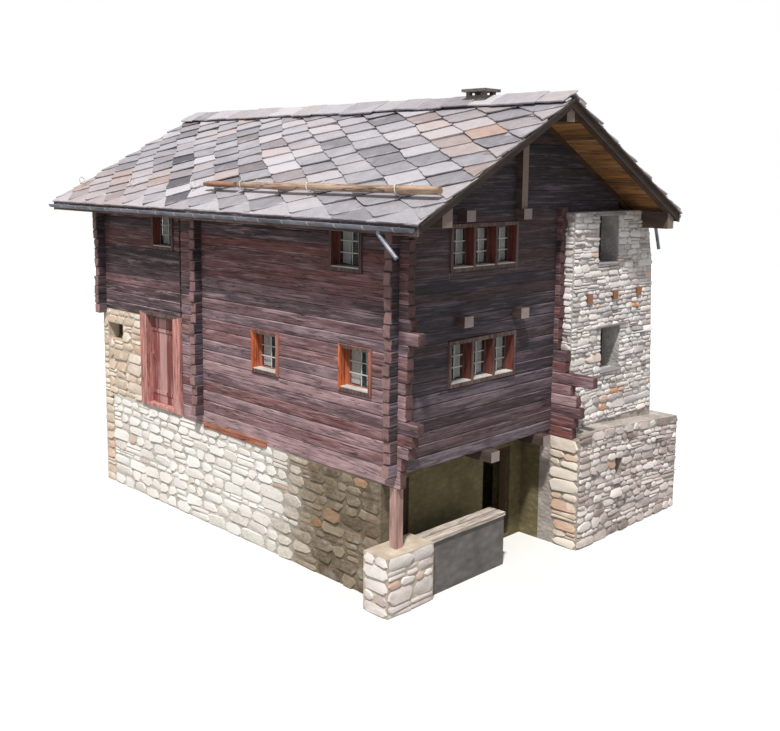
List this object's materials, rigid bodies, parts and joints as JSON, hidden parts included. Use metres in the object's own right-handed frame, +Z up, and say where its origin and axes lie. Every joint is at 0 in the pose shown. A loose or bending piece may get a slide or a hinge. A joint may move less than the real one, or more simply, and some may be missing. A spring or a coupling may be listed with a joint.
{
  "type": "alpine chalet",
  "caption": "Squared-log alpine house on a masonry base, with a stone wing under one stone-slab gable roof, window frames with glass and a hinged entrance door.",
  "frame": {"origin": "centre of the whole building's outline at the underside of its lowest walls", "axes": "+X across the front gable from the entrance side to the stone wing, +Y along the ridge from the front gable to the back, +Z up"},
  "size_m": [8.32, 10.96, 8.3094],
  "materials": {
    "wall_logs": "matt",
    "old_timber": "matt",
    "rafter_wood": "matt",
    "floor_wood": "satin",
    "frame_wood": "satin",
    "door_wood": "satin",
    "pole_wood": "matt",
    "plank_wood": "matt",
    "rubble": "rough",
    "roof_stone": "rough",
    "zinc": "satin",
    "glass": "gloss"
  },
  "bodies": {
    "house": {"cellar_side_wall": "rubble", "side_stone_wall": "rubble", "cellar_cross_walls": "rubble", "cellar_inner_wall": "rubble", "stone_floors": "rubble", "back_base_wall": "rubble", "base_block": "rubble", "wing_end_walls": "rubble", "wing_side_wall": "rubble", "post_pier": "rubble", "parapet_wall": "rubble", "front_log_wall": "wall_logs", "side_log_wall": "wall_logs", "far_side_logs": "wall_logs", "back_log_wall": "wall_logs", "gable_tops": "wall_logs", "inner_log_wall": "wall_logs", "cross_log_wall": "wall_logs", "inner_door_posts": "wall_logs", "corner_post": "old_timber", "floor_beams": "old_timber", "wing_beams": "old_timber", "timber_floors": "floor_wood", "ridge_purlin": "old_timber", "eaves_plates": "old_timber", "left_rafters": "rafter_wood", "right_rafters": "rafter_wood", "left_roof_boards": "rafter_wood", "right_roof_boards": "rafter_wood", "left_stone_roof": "roof_stone", "right_stone_roof": "roof_stone", "ridge_slabs": "roof_stone", "verge_boards": "old_timber", "gutters": "zinc", "snow_poles": "pole_wood", "snow_hooks": "zinc", "chimney": "roof_stone", "log_windows": "frame_wood", "wing_windows": "frame_wood", "window_glass": "glass", "door_frame": "door_wood", "gable_binder": "old_timber", "parapet_planks": "plank_wood", "cellar_door_frames": "old_timber"},
    "entrance_door": {"door_leaf": "door_wood"}
  },
  "joints": [
    {"name": "entrance_door_swing", "type": "hinge", "parent": "house", "child": "entrance_door", "pos_m": [-3.279, 1.649, 2.078], "axis": [0, 0, -1], "range_deg": [0, 95]}
  ]
}
